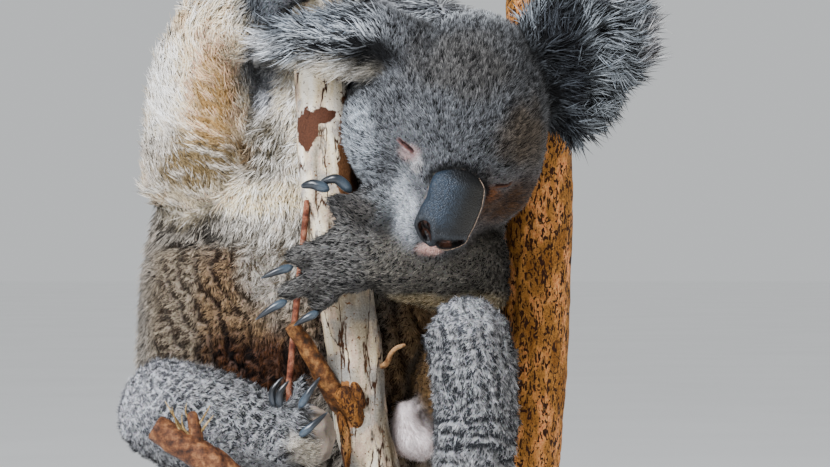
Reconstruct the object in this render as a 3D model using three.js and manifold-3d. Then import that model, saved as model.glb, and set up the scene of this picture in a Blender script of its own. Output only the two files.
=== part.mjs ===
// A life-size still model of an adult male koala asleep in a forked gum tree, on a display stand.
// Millimetres, +Z up. The origin is the centre of the stand base's underside, and the animal faces -Y.
// The animal sits in the fork, astride the pale stem. Its left arm crosses in front of that stem, its right
// hand holds it higher up, and its head hangs in the gap between the pale stem and the brown one.
// Left and right are the animal's own: its left side is at +X.
// Places of the animal and its perch are measured from a line down the front of the pale stem (x and y)
// and from the underside of the base (z). The mounted group brings them over the base at the end.

import * as THREE from 'three';
import { LoftGeometry } from 'three/addons/geometries/LoftGeometry.js';
import { mergeVertices } from 'three/addons/utils/BufferGeometryUtils.js';
import Module from 'manifold-3d';

const wasm = await Module();
wasm.setup();

// ---- Driving dimensions ----

const GAP = 0.35; // clearance between neighbouring solids
const SEAM_TOLERANCE = 0.15; // how far the fine facets along a cut may be merged
const EYE_SPACING = 68; // between the middles of the closed lids
const EYE_SHIFT = 3; // how far the lids sit towards the right of the head's middle line
const HEAD_CENTRE = [47, -12, 512];
const HEAD_PITCH = 36; // degrees, nose down
const HEAD_YAW = 13; // degrees, face towards +X
const HEAD_ROLL = 20.5; // degrees, crown towards +X
const WAIST_LEVEL = 432; // the cut between chest and abdomen
const FORK_LEVEL = 250; // the cut between the fork and its two stems
const BASE = { width: 400, depth: 330, thickness: 18, corner: 24 };
const SEAT_OFFSET = -44; // how far the animal and its perch stand in front of the line they're measured from
const ROD_RADIUS = 7;
const PERCH_FOOT = 70; // level of the perch's sawn lower end

// ---- Materials ----

const finish = (color, roughness) => new THREE.MeshStandardMaterial({ color, roughness, metalness: 0 });
const greyFur = finish(0x77787a, 0.95);
const paleFur = finish(0xd9cfc0, 0.95);
const bellyFur = finish(0x8b7a66, 0.95);
const noseLeather = finish(0x39424b, 0.5);
const claw = finish(0x3f464d, 0.4);
const lidSkin = finish(0xa98880, 0.7);
const paleBark = finish(0xc9bda8, 0.85);
const brownBark = finish(0xa8703a, 0.85);
const redBark = finish(0x7c3f27, 0.8);
const standBoard = finish(0x2b2b2d, 0.6);
const standSteel = new THREE.MeshStandardMaterial({ color: 0x9a9c9f, roughness: 0.35, metalness: 1 });

// ---- Shape tools ----

const toVector = (p) => new THREE.Vector3(p[0], p[1], p[2]);

// The closed solid of a geometry, with its shared vertices merged.
function solidOf(geometry) {
  const bare = new THREE.BufferGeometry();
  bare.setAttribute('position', geometry.getAttribute('position'));
  bare.setIndex(geometry.index);
  const merged = mergeVertices(bare, 1e-3);
  return new wasm.Manifold(new wasm.Mesh({
    numProp: 3,
    vertProperties: merged.attributes.position.array,
    triVerts: new Uint32Array(merged.index.array),
  }));
}

// A round-ended form along a smooth path. Each station is [x, y, z, half width, half height].
// The half height is measured towards `up`, and `ends` is the share of the length that each end rounds over.
function limb(stations, { sides = 12, steps = 9, up = [0, 0, 1], ends = 0.28, grow = 0 } = {}) {
  const path = new THREE.CatmullRomCurve3(stations.map(toVector), false, 'centripetal');
  const sizes = new THREE.CatmullRomCurve3(stations.map((s) => new THREE.Vector3(s[3], s[4] ?? s[3], 0)));
  const sections = [];
  for (let i = 0; i <= steps; i++) {
    const t = 0.5 - 0.5 * Math.cos(Math.PI * i / steps);
    const intoEnd = Math.max(0, Math.abs(2 * t - 1) - (1 - 2 * ends)) / (2 * ends);
    const rounding = Math.max(0.16, Math.sqrt(1 - Math.min(1, intoEnd) ** 2));
    const size = sizes.getPoint(t);
    const along = path.getTangent(t);
    const side = new THREE.Vector3().crossVectors(toVector(up), along).normalize();
    const rise = new THREE.Vector3().crossVectors(along, side);
    const centre = path.getPoint(t);
    if (i === 0) centre.addScaledVector(along, -grow);
    if (i === steps) centre.addScaledVector(along, grow);
    sections.push(Array.from({ length: sides }, (_, k) => {
      const angle = 2 * Math.PI * k / sides;
      return centre.clone()
        .addScaledVector(side, Math.cos(angle) * (size.x * rounding + grow))
        .addScaledVector(rise, Math.sin(angle) * (size.y * rounding + grow));
    }));
  }
  return solidOf(new LoftGeometry(sections, { capStart: true, capEnd: true }));
}

// A straight-ended branch along a smooth path. Each station is [x, y, z, radius].
function branch(stations, { sides = 14, steps = 10, grow = 0 } = {}) {
  const path = new THREE.CatmullRomCurve3(stations.map(toVector), false, 'centripetal');
  const sizes = new THREE.CatmullRomCurve3(stations.map((s) => new THREE.Vector3(s[3], 0, 0)));
  const frames = path.computeFrenetFrames(steps, false);
  const sections = frames.tangents.map((_, i) => {
    const t = path.getUtoTmapping(i / steps);
    return Array.from({ length: sides }, (_, k) => {
      const angle = 2 * Math.PI * k / sides;
      return path.getPoint(t)
        .addScaledVector(frames.normals[i], Math.cos(angle) * (sizes.getPoint(t).x + grow))
        .addScaledVector(frames.binormals[i], Math.sin(angle) * (sizes.getPoint(t).x + grow));
    });
  });
  return solidOf(new LoftGeometry(sections, { capStart: true, capEnd: true }));
}

// Distance, near enough, from a point to a lump: an ellipsoid { at, size } or a rod with round ends
// { from, to, size: [radius at from, radius at to] }.
function fromLump(point, { at, from, to, size }) {
  if (at) {
    const [x, y, z] = [0, 1, 2].map((i) => (point.getComponent(i) - at[i]) / size[i]);
    const inner = Math.hypot(x, y, z);
    return inner * (inner - 1) / Math.max(1e-6, Math.hypot(x / size[0], y / size[1], z / size[2]));
  }
  const axis = new THREE.Line3(toVector(from), toVector(to));
  const share = axis.closestPointToPointParameter(point, true);
  return point.distanceTo(axis.at(share, new THREE.Vector3())) - THREE.MathUtils.lerp(size[0], size[1], share);
}

// The box round a few lumps.
function lumpBox(lumps) {
  const box = new THREE.Box3();
  for (const { at, from, to, size } of lumps) {
    const ends = at ? [[at, size]] : [[from, Array(3).fill(size[0])], [to, Array(3).fill(size[1])]];
    for (const [middle, half] of ends) {
      box.expandByPoint(toVector(middle).add(toVector(half))).expandByPoint(toVector(middle).sub(toVector(half)));
    }
  }
  return box;
}

// One smooth form round a few lumps: a sphere's vertices drawn in onto their blended surface.
function wrapped(lumps, { centre, blend = 10, around = 12, down = 9, grow = 0 } = {}) {
  const box = lumpBox(lumps);
  const middle = centre ? toVector(centre) : box.getCenter(new THREE.Vector3());
  const extent = box.getSize(new THREE.Vector3());
  const geometry = new THREE.SphereGeometry(1, around, down);
  const position = geometry.getAttribute('position');
  for (let i = 0; i < position.count; i++) {
    const ray = new THREE.Vector3().fromBufferAttribute(position, i).multiply(extent).normalize();
    let distance = extent.length();
    for (let step = 0; step < 90; step++) {
      const point = middle.clone().addScaledVector(ray, distance);
      const near = lumps.map((lump) => Math.exp(-fromLump(point, lump) / blend));
      distance -= 0.7 * (-blend * Math.log(near.reduce((a, b) => a + b)) - grow);
    }
    const found = middle.clone().addScaledVector(ray, distance);
    position.setXYZ(i, found.x, found.y, found.z);
  }
  return solidOf(geometry);
}

const joined = (solids) => solids.reduce((a, b) => a.add(b));

// The part of a solid that is above (+1) or below (-1) a level.
function sliced(solid, level, sign) {
  const side = 1200;
  const block = new THREE.BoxGeometry(side, side, side);
  block.translate(0, 0, level + sign * side / 2);
  return solid.intersect(solidOf(block));
}

// ---- The animal's head, in its own frame: x to its right, y forwards, z up ----

const headTurn = new THREE.Matrix4()
  .makeRotationY(THREE.MathUtils.degToRad(HEAD_ROLL))
  .multiply(new THREE.Matrix4().makeRotationZ(THREE.MathUtils.degToRad(HEAD_YAW)))
  .multiply(new THREE.Matrix4().makeRotationX(THREE.MathUtils.degToRad(HEAD_PITCH)))
  .multiply(new THREE.Matrix4().makeRotationZ(Math.PI)); // +Y forwards becomes -Y
const headPlace = new THREE.Matrix4().makeTranslation(...HEAD_CENTRE).multiply(headTurn);
const onHead = (solid) => solid.transform(headPlace.elements);

const both = (lump) => [lump, { ...lump, at: [-lump.at[0], lump.at[1], lump.at[2]] }];

const headLumps = [
  { at: [0, -16, 6], size: [57, 68, 53] }, // braincase
  { at: [0, 18, 4], size: [45, 40, 36] }, // forehead
  ...both({ at: [35, 10, -24], size: [28, 34, 33] }), // cheeks
  { at: [45, 2, -15], size: [26, 32, 26] }, // ruff of the right cheek, pushed up by the pale stem
  { at: [-1, 48, -20], size: [25, 26, 21] }, // bridge of the muzzle
  { at: [-2, 61, -33], size: [21, 23, 17] }, // muzzle
  { at: [-1, 55, -49], size: [18, 27, 14] }, // lower jaw
];
const head = (grow) => onHead(wrapped(headLumps, { centre: [0, 0, -6], blend: 8, around: 19, down: 13, grow }));

const nose = (grow) => onHead(limb([
  [-3, 57, 8, 13, 8], [-3.4, 66, -1, 19.5, 10], [-3.4, 73, -12, 20, 11], [-3, 81, -26, 18.5, 11],
  [-2.6, 85, -38, 18, 10],
], { sides: 14, steps: 7, up: [0, 1, 0.5], ends: 0.2, grow }));

const eyelid = (side) => (grow) => onHead(limb([
  [side * (EYE_SPACING / 2 - 7) + EYE_SHIFT, 55, 3.5, 4, 4],
  [side * EYE_SPACING / 2 + EYE_SHIFT, 50, 4.5, 6, 5.5],
  [side * (EYE_SPACING / 2 + 7) + EYE_SHIFT, 44, 5.5, 4, 4],
], { sides: 8, steps: 4, ends: 0.4, up: [0, 1, 0.2], grow }));

// ---- Sub-parts ----

// Each entry is made in this order, and every later one is cut back from the earlier ones.
const subparts = [];
const add = (name, material, shape) => subparts.push({ name, material, shape });

function addStand() {
  const { width, depth, thickness, corner } = BASE;
  const [x, y] = [width / 2, depth / 2];
  const outline = new THREE.Shape();
  outline.absarc(x - corner, y - corner, corner, 0, Math.PI / 2);
  outline.absarc(corner - x, y - corner, corner, Math.PI / 2, Math.PI);
  outline.absarc(corner - x, corner - y, corner, Math.PI, 1.5 * Math.PI);
  outline.absarc(x - corner, corner - y, corner, 1.5 * Math.PI, 2 * Math.PI);
  add('stand_base', standBoard, () => solidOf(
    new THREE.ExtrudeGeometry(outline, { depth: thickness, bevelEnabled: false, curveSegments: 4 })
      .translate(0, -SEAT_OFFSET, 0)));
  for (const [side, rodX] of [['right', 24], ['left', 70]]) {
    const length = PERCH_FOOT - thickness - 2 * GAP;
    add(`stand_rod_${side}`, standSteel, () => solidOf(
      new THREE.CylinderGeometry(ROD_RADIUS, ROD_RADIUS, length, 20).rotateX(Math.PI / 2)
        .translate(rodX, 66, thickness + GAP + length / 2)));
  }
}

// The forked stem: one trunk below, and a pale and a brown stem above.
const trunk = (grow) => branch([
  [47, 66, PERCH_FOOT, 46], [47, 66, 130, 45], [48, 66, 195, 47], [51, 62, 232, 40], [53, 58, 258, 20],
], { sides: 14, steps: 6, grow });
const paleStem = (grow) => branch([
  [30, 48, 180, 26], [14, 22, 232, 22], [-10, 2, 285, 18.5], [-21.5, 0, 377, 19], [-37, 0, 471, 19.5],
  [-41, 0, 540, 18], [-46, 2, 610, 17], [-50, 4, 662, 16],
], { sides: 12, steps: 10, grow });
const brownStem = (grow) => branch([
  [66, 66, 180, 30], [84, 62, 232, 27], [92, 60, 284, 25], [99, 60, 380, 24.5], [102.5, 60, 560, 24],
  [104, 60, 640, 23],
], { sides: 14, steps: 7, grow });

function addPerch() {
  add('perch_fork', paleBark, (grow) => sliced(joined([trunk(grow), paleStem(grow), brownStem(grow)]),
    FORK_LEVEL - GAP / 2 + grow, -1));
  add('perch_stem_pale', paleBark, (grow) => sliced(paleStem(grow), FORK_LEVEL + GAP / 2 - grow, 1));
  add('perch_stem_brown', brownBark, (grow) => sliced(brownStem(grow), FORK_LEVEL + GAP / 2 - grow, 1));
  add('perch_side_shoot', brownBark, (grow) => branch([
    [-22, -4, 322, 9], [-36, -16, 341, 8], [-46, -22, 360, 6.5], [-60, -26, 382, 5.5],
  ], { sides: 10, steps: 4, grow }));
  add('perch_cut_branch', redBark, (grow) => branch([
    [20, 22, 150, 13], [-20, -30, 196, 12], [-64, -58, 254, 11], [-98, -64, 288, 10.5], [-146, -62, 318, 9.5],
  ], { sides: 10, steps: 6, grow }));
  add('perch_twig', redBark, (grow) => branch([
    [-60, -8, 300, 2.7], [-62, -8, 345, 2.7], [-57, -8, 396, 2.6], [-50, -14, 462, 2.4],
  ], { sides: 6, steps: 4, grow }));
}

// A claw from its root to its tip, bowed through a middle point.
const clawShape = (root, middle, tip, radius) => (grow) => limb(
  [[...root, radius], [...middle, radius * 0.8], [...tip, 0.9]],
  { sides: 5, steps: 4, ends: 0.12, up: [0.1, 1, 0.2], grow });

// A digit: a short round-ended form from the palm or sole to its tip.
const digit = (points, radius, grow, tipRadius = radius * 0.85) => limb(
  points.map((p, i) => [...p, THREE.MathUtils.lerp(radius, tipRadius, i / (points.length - 1))]),
  { sides: 6, steps: 3, ends: 0.3, up: [0.1, 1, 0.2], grow });

// Each foot or hand: its palm, its digits and, for each digit that has one, its claw.
const paws = {
  hand_left: {
    palm: [[-2, -38, 424, 24, 17], [-22, -41, 425, 26, 15], [-46, -41, 418, 20, 11]],
    up: [0, 1, 0],
    digits: [
      { path: [[-16, -39, 440], [-26, -41, 456], [-37, -38, 465]], radius: 9.5,
        claw: [[-36, -39, 468], [-46, -38, 472], [-53, -36, 470]] },
      { path: [[-8, -37, 444], [-16, -37, 458], [-23, -34, 466]], radius: 9,
        claw: [[-22, -35, 467], [-31, -38, 476], [-41, -36, 472]] },
      { path: [[-32, -41, 430], [-52, -44, 428], [-64, -43, 421]], radius: 9,
        claw: [[-58, -46, 419], [-68, -49, 416], [-78.5, -48, 411.5]] },
      { path: [[-34, -41, 412], [-56, -44, 406], [-68, -43, 399]], radius: 9,
        claw: [[-62, -46, 397], [-71, -48, 393], [-82, -47, 385]] },
      { path: [[-26, -37, 406], [-40, -37, 396], [-48, -35, 389]], radius: 7.5,
        claw: [[-42, -38, 390], [-50, -40, 386], [-58, -39, 381]] },
    ],
  },
  hand_right: {
    palm: [[-78, 22, 586, 15, 17], [-70, 12, 590, 15, 20], [-66, 2, 594, 13, 20]],
    up: [0, 0, 1],
    digits: [
      { path: [[-72, 10, 600], [-63, -14, 608], [-44, -22, 612]], radius: 8,
        claw: [[-46, -23, 612], [-34, -23, 613], [-26, -18, 612]] },
      { path: [[-72, 8, 586], [-62, -16, 592], [-44, -23, 595]], radius: 8,
        claw: [[-46, -24, 595], [-34, -24, 595], [-25, -18, 593]] },
      { path: [[-68, 14, 608], [-56, 26, 610], [-40, 26, 612]], radius: 7.5,
        claw: [[-42, 27, 612], [-30, 26, 613], [-21, 19, 612]] },
      { path: [[-68, 14, 592], [-54, 26, 593], [-38, 26, 594]], radius: 7.5,
        claw: [[-40, 27, 594], [-28, 26, 594], [-19, 18, 592]] },
      { path: [[-70, 14, 578], [-56, 25, 576], [-40, 25, 576]], radius: 7,
        claw: [[-42, 26, 576], [-30, 25, 575], [-21, 18, 573]] },
    ],
  },
  foot_right: {
    palm: [[-47, -28, 290, 19, 15], [-47, -33, 311, 20, 18], [-47, -35, 331, 18, 15]],
    up: [1, 0, 0],
    digits: [
      { path: [[-54, -24, 320], [-56, -24, 338], [-51, -22, 350]], radius: 7 },
      { path: [[-62, -38, 316], [-69, -42, 325], [-71, -42, 333]], radius: 5.5,
        claw: [[-70, -43, 329], [-72, -46, 340], [-64.5, -46, 348.5]] },
      { path: [[-57, -44, 318], [-63, -48, 326], [-66, -48, 333]], radius: 5.5,
        claw: [[-66, -49, 329], [-67, -52, 339], [-60.5, -52, 346.5]] },
      { path: [[-54, -46, 312], [-56, -50, 322], [-52, -51, 332]], radius: 7,
        claw: [[-54, -53, 329], [-48, -56, 339], [-41, -53, 348.5]] },
      { path: [[-56, -48, 302], [-56, -52, 308], [-51, -52, 314]], radius: 7,
        claw: [[-54, -54, 311], [-46, -56, 318], [-36, -52, 326.5]] },
    ],
  },
  foot_left: {
    palm: [[58, -14, 232, 17, 15], [40, -12, 236, 19, 15], [22, -14, 242, 18, 13], [8, -16, 246, 14, 10]],
    up: [0, 1, 0],
    digits: [
      { path: [[40, -10, 246], [42, 2, 260], [34, 12, 270]], radius: 8 },
      { path: [[22, -16, 254], [4, -22, 262], [-10, -14, 265]], radius: 6,
        claw: [[-8, -18, 265], [-17, -13, 266], [-22, -4, 264]] },
      { path: [[20, -18, 247], [2, -24, 253], [-10, -16, 255]], radius: 6,
        claw: [[-8, -20, 255], [-17, -15, 255], [-22, -6, 253]] },
      { path: [[20, -18, 238], [4, -22, 240], [-8, -16, 241]], radius: 7.5,
        claw: [[-5, -19, 241], [-15, -15, 240], [-21, -7, 237]] },
      { path: [[20, -16, 230], [8, -18, 228], [-4, -13, 226]], radius: 7.5,
        claw: [[-1, -17, 226], [-11, -14, 224], [-18, -7, 220]] },
    ],
  },
};

function addPaws() {
  const clawRadius = { hand_left: 3.6, hand_right: 3.4, foot_right: 3.4, foot_left: 3.4 };
  for (const [name, paw] of Object.entries(paws)) {
    paw.digits.forEach((one, i) => {
      if (one.claw) add(`claw_${name}_${i + 1}`, claw, clawShape(...one.claw, clawRadius[name]));
    });
  }
  for (const [name, paw] of Object.entries(paws)) {
    add(name, greyFur, (grow) => joined([
      limb(paw.palm, { sides: 8, steps: 4, up: paw.up, ends: 0.3, grow }),
      ...paw.digits.map((one) => digit(one.path, one.radius, grow)),
    ]));
  }
}

function addEars() {
  add('ear_left', greyFur, (grow) => wrapped([
    { at: [133, 12, 568], size: [48, 20, 39] },
    { at: [123, 8, 519], size: [21, 16, 22] },
    { at: [112, 6, 548], size: [24, 19, 34] },
  ], { centre: [124, 9, 552], blend: 6, grow }));
  add('ear_right', greyFur, (grow) => wrapped([
    { at: [-14, -34, 564], size: [38, 15, 25] },
    { at: [-54, -37, 563], size: [34, 12, 15] },
    { at: [12, -22, 558], size: [24, 20, 24] },
  ], { centre: [-30, -34, 562], blend: 5, grow }));
}

function addLimbs() {
  add('forearm_left', greyFur, (grow) => wrapped([
    { from: [52, 2, 424], to: [46, -10, 420], size: [25, 30] },
    { from: [52, 0, 420], to: [60, -4, 405], size: [22, 15] },
    { from: [46, -10, 420], to: [8, -34, 421], size: [28, 19] },
    { from: [8, -34, 421], to: [-8, -37, 424], size: [19, 16] },
  ], { blend: 7, grow }));
  add('upper_arm_left', greyFur, (grow) => wrapped([
    { from: [42, 88, 492], to: [46, 40, 452], size: [38, 30] },
    { from: [46, 40, 452], to: [50, 2, 428], size: [30, 24] },
  ], { grow }));
  add('forearm_right', greyFur, (grow) => wrapped([
    { from: [-114, 56, 568], to: [-92, 40, 580], size: [24, 20] },
    { from: [-92, 40, 580], to: [-72, 18, 588], size: [20, 14] },
  ], { blend: 6, grow }));
  add('upper_arm_right', paleFur, (grow) => wrapped([
    { from: [-84, 96, 468], to: [-121, 86, 484], size: [34, 39] },
    { from: [-121, 86, 484], to: [-124, 74, 540], size: [39, 30] },
    { from: [-124, 74, 540], to: [-116, 62, 576], size: [30, 24] },
  ], { blend: 9, grow }));
  add('shin_left', greyFur, (grow) => limb([
    [50, -46, 398, 22, 24], [53, -55, 374, 28, 29], [58, -56, 345, 27, 30], [58, -54, 318, 26, 27],
    [55, -50, 288, 25, 25], [55, -34, 252, 21, 21], [56, -20, 232, 17, 18],
  ], { up: [0, 1, 0], sides: 12, steps: 8, ends: 0.14, grow }));
  add('thigh_left', greyFur, (grow) => wrapped([
    { from: [42, 92, 302], to: [56, 20, 346], size: [48, 30] },
    { from: [56, 20, 348], to: [54, -34, 372], size: [30, 23] },
  ], { grow }));
  add('shin_right', greyFur, (grow) => limb([
    [-163, 26, 329, 23, 26], [-148, 10, 325, 30, 34], [-120, -6, 319, 30, 35], [-90, -18, 313, 26, 31],
    [-64, -30, 306, 20, 23], [-52, -32, 304, 15, 18],
  ], { sides: 12, steps: 8, ends: 0.14, grow }));
  add('thigh_right', greyFur, (grow) => wrapped([
    { from: [-78, 108, 302], to: [-120, 66, 316], size: [52, 41] },
    { from: [-120, 66, 316], to: [-146, 24, 328], size: [41, 28] },
  ], { grow }));
  add('scrotum', paleFur, (grow) => wrapped([
    { at: [13, 14, 317], size: [10, 12, 18] },
    { at: [15, 13, 305], size: [11, 12, 12] },
    { at: [26, 11, 302], size: [9, 11, 11] },
  ], { centre: [18, 13, 306], blend: 2, around: 12, down: 9, grow }));
}

const torsoLumps = [
  { at: [-54, 106, 362], size: [117, 80, 94] }, // abdomen
  { at: [-18, 112, 292], size: [92, 76, 64] }, // rump
  { at: [-50, 106, 438], size: [110, 70, 84] }, // chest
  { at: [-16, 108, 524], size: [94, 58, 54] }, // shoulders
];

function addTrunk() {
  add('neck', greyFur, (grow) => wrapped([
    { from: [10, 96, 536], to: [34, 22, 542], size: [58, 55] },
    { at: [-8, 42, 552], size: [44, 36, 48] }, // nape, hunched behind the right ear
  ], { around: 10, down: 7, grow }));
  const torso = (grow) => wrapped(torsoLumps, { centre: [-28, 108, 410], blend: 16, around: 20, down: 15, grow });
  add('chest', paleFur, (grow) => sliced(torso(grow), WAIST_LEVEL + GAP / 2 - grow, 1));
  add('abdomen', bellyFur, (grow) => sliced(torso(grow), WAIST_LEVEL - GAP / 2 + grow, -1));
}

// ---- Assembly ----

function addAll() {
  addStand();
  addPerch();
  add('nose', noseLeather, nose);
  add('eyelid_left', lidSkin, eyelid(-1));
  add('eyelid_right', lidSkin, eyelid(1));
  addPaws();
  add('head', greyFur, head);
  addEars();
  addLimbs();
  addTrunk();
}

const overlaps = (a, b) => [0, 1, 2].every((i) => a.min[i] < b.max[i] && b.min[i] < a.max[i]);

// The largest body of a solid that a neighbour's cut has left in several.
const largest = (solid) => solid.decompose().reduce((a, b) => (a.volume() > b.volume() ? a : b));

function meshOf(name, material, solid) {
  const { numProp, vertProperties, triVerts } = solid.getMesh();
  const geometry = new THREE.BufferGeometry();
  geometry.setAttribute('position', new THREE.BufferAttribute(new Float32Array(vertProperties), numProp));
  geometry.setIndex(new THREE.BufferAttribute(new Uint32Array(triVerts), 1));
  geometry.computeVertexNormals();
  const mesh = new THREE.Mesh(geometry, material);
  mesh.name = name;
  return mesh;
}

const koala = new THREE.Group();
koala.name = 'koala';
const mounted = new THREE.Group();
mounted.name = 'mounted';
mounted.position.y = SEAT_OFFSET;
koala.add(mounted);
addAll();
const cutters = [];
for (const { name, material, shape } of subparts) {
  let solid = shape(0);
  for (const cutter of cutters) {
    if (overlaps(solid.boundingBox(), cutter.boundingBox())) solid = solid.subtract(cutter);
  }
  mounted.add(meshOf(name, material, largest(solid).simplify(SEAM_TOLERANCE)));
  cutters.push(shape(GAP));
}

export default koala;
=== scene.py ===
import math

import bmesh
import bpy
import numpy as np
from mathutils import Matrix, Vector
from mathutils.bvhtree import BVHTree


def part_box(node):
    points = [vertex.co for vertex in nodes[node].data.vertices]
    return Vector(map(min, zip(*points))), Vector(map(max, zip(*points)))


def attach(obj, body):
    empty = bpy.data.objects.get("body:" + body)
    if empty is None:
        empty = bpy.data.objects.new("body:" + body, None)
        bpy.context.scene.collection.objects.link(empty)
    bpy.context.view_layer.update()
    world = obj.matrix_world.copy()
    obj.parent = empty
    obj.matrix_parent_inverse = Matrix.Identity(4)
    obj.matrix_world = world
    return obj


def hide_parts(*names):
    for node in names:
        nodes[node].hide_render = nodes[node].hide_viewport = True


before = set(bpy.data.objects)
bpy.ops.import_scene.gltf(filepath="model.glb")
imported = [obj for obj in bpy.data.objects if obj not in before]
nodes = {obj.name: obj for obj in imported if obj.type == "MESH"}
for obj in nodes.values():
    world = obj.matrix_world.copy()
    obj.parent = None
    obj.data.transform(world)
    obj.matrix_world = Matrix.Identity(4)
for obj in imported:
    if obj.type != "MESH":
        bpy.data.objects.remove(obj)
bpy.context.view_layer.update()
dice = np.random.default_rng(11)  # every random choice comes from this one
print("frame loaded,", len(nodes), "nodes")


def linear(code):
    # sRGB hex to Blender's linear colour
    parts = [int(code[i:i + 2], 16) / 255 for i in (1, 3, 5)]
    return [p / 12.92 if p <= 0.04045 else ((p + 0.055) / 1.055) ** 2.4 for p in parts] + [1]


def asRgb(code):
    return np.array(linear(code)[:3])


def blend(one, other, share):
    return one * (1 - share) + other * share


def addNode(tree, kind, sockets=None, stops=None, give=0, **settings):
    # one node, and the output that it gives. A socket takes a number, a hex colour or another node's output,
    # and stops fill a colour ramp.
    made = tree.nodes.new("ShaderNode" + kind)
    for key, value in settings.items():
        setattr(made, key, value)
    if stops:
        while len(made.color_ramp.elements) < len(stops):
            made.color_ramp.elements.new(0.5)
        for element, (place, code) in zip(made.color_ramp.elements, stops):
            element.position = place
            element.color = linear(code)
    for key, value in (sockets or {}).items():
        if isinstance(value, bpy.types.NodeSocket):
            tree.links.new(value, made.inputs[key])
        else:
            made.inputs[key].default_value = linear(value) if isinstance(value, str) else value
    return made.outputs[give] if made.outputs else None


def newMaterial(name):
    # an empty material, its tree and the place on the object, in metres
    material = bpy.data.materials.new(name)
    material.use_nodes = True
    tree = material.node_tree
    tree.nodes.clear()
    return material, tree, addNode(tree, "TexCoord", give="Object")


def finished(material, sockets):
    # the material with its shader, which these sockets feed
    shader = addNode(material.node_tree, "BsdfPrincipled", sockets)
    addNode(material.node_tree, "OutputMaterial", {"Surface": shader})
    return material


def grained(tree, coords, colour, size, tones, share, detail=4):
    # the colour with a fine grain of this size laid over it, and the grain itself
    grain = addNode(tree, "TexNoise", {"Vector": coords, "Scale": 1 / size, "Detail": detail})
    tone = addNode(tree, "ValToRGB", {"Fac": grain}, stops=[(0.3, tones[0]), (0.7, tones[1])])
    mixed = addNode(tree, "MixRGB", {"Fac": share, "Color1": colour, "Color2": tone}, blend_type="OVERLAY")
    return mixed, grain


def mergedShape(names, puff=0):
    # the CAD nodes' own forms in one bmesh, each closed and puffed out a little so that neighbours meet
    shape = bmesh.new()
    for name in names:
        part = bmesh.new()
        part.from_mesh(nodes[name].data)
        bmesh.ops.remove_doubles(part, verts=part.verts, dist=2e-5)
        part.normal_update()
        for vert in part.verts:
            vert.co += vert.normal * puff
        mesh = bpy.data.meshes.new("part")
        part.to_mesh(mesh)
        part.free()
        shape.from_mesh(mesh)
        bpy.data.meshes.remove(mesh)
    return shape


def newPiece(name, shape):
    mesh = bpy.data.meshes.new(name)
    shape.to_mesh(mesh)
    shape.free()
    piece = bpy.data.objects.new(name, mesh)
    bpy.context.scene.collection.objects.link(piece)
    return piece


def settled(piece):
    # the piece's modifiers become its mesh
    graph = bpy.context.evaluated_depsgraph_get()
    mesh = bpy.data.meshes.new_from_object(piece.evaluated_get(graph))
    piece.modifiers.clear()
    piece.data = mesh
    mesh.shade_smooth()
    return piece


def fused(piece, voxel, rounds):
    # one closed skin over everything in the piece, with the facets relaxed
    remesh = piece.modifiers.new("fuse", "REMESH")
    remesh.mode = "VOXEL"
    remesh.voxel_size = voxel
    relax = piece.modifiers.new("relax", "SMOOTH")
    relax.factor = 0.5
    relax.iterations = rounds
    return settled(piece)


def rounded(piece):
    rounder = piece.modifiers.new("round", "SUBSURF")
    rounder.levels = rounder.render_levels = 2
    return settled(piece)


def rowsOf(items, key, width, kind=np.float32):
    # what each item says under the key, one row for each
    found = np.empty(len(items) * width, kind)
    items.foreach_get(key, found)
    return found.reshape(-1, width)


def places(mesh):
    return rowsOf(mesh.vertices, "co", 3).astype(float)


def facing(mesh):
    return rowsOf(mesh.vertex_normals, "vector", 3).astype(float)


def movedTo(mesh, points):
    mesh.vertices.foreach_set("co", points.astype(np.float32).ravel())
    mesh.update()


def unit(vectors):
    return vectors / np.maximum(np.linalg.norm(vectors, axis=-1, keepdims=True), 1e-9)


def across(vectors, normals):
    # what is left of the vectors in the surface
    return vectors - normals * np.sum(vectors * normals, axis=1, keepdims=True)


def fade(value, low, high):
    # 0 below low, 1 above high and smooth between
    t = np.clip((value - low) / (high - low), 0, 1)
    return t * t * (3 - 2 * t)


def band(value, low, full, ebb, high):
    # 0 below low, 1 from full to ebb and 0 above high
    return fade(value, low, full) * (1 - fade(value, ebb, high))


def scatter(keys):
    # a steady random number from 0 to 1 for each row of whole numbers
    mixed = (keys.astype(np.int64) @ np.array([73856093, 19349663, 83492791])) & 0xffffffff
    mixed = ((mixed ^ (mixed >> 15)) * 0x2c1b3c6d) & 0xffffffff
    mixed = ((mixed ^ (mixed >> 12)) * 0x297a2d39) & 0xffffffff
    return ((mixed ^ (mixed >> 15)) & 0xffffff) / 0xffffff


def cloud(points, size, seed=0):
    # smooth noise from -1 to 1 whose lumps are about size across
    cell = points / size + seed * 17.3
    low = np.floor(cell).astype(np.int64)
    part = cell - low
    part = part * part * (3 - 2 * part)
    total = np.zeros(len(points))
    for corner in range(8):
        step = np.array([corner & 1, corner >> 1 & 1, corner >> 2 & 1])
        share = np.prod(np.where(step, part, 1 - part), axis=1)
        total += share * scatter(low + step)
    return total * 2 - 1


def clumps(points, size, seed=0):
    # scattered clump middles about size apart: the nearest one, its own random number, and how far inside
    # its clump each point is, from 0 on the crease between two clumps
    low = np.floor(points / size).astype(np.int64)
    best = np.full(len(points), np.inf)
    second = best.copy()
    middles, own = np.zeros_like(points), np.zeros(len(points))
    for corner in range(27):
        cell = low + np.array([corner % 3, corner // 3 % 3, corner // 9]) - 1
        place = (cell + np.stack([scatter(cell + 31 * k + seed) for k in (1, 2, 3)], axis=1)) * size
        distance = np.linalg.norm(place - points, axis=1)
        closer = distance < best
        second = np.where(closer, best, np.minimum(second, distance))
        middles[closer], own[closer] = place[closer], scatter(cell + 7)[closer]
        best = np.minimum(best, distance)
    return middles, own, (second - best) / size


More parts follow.
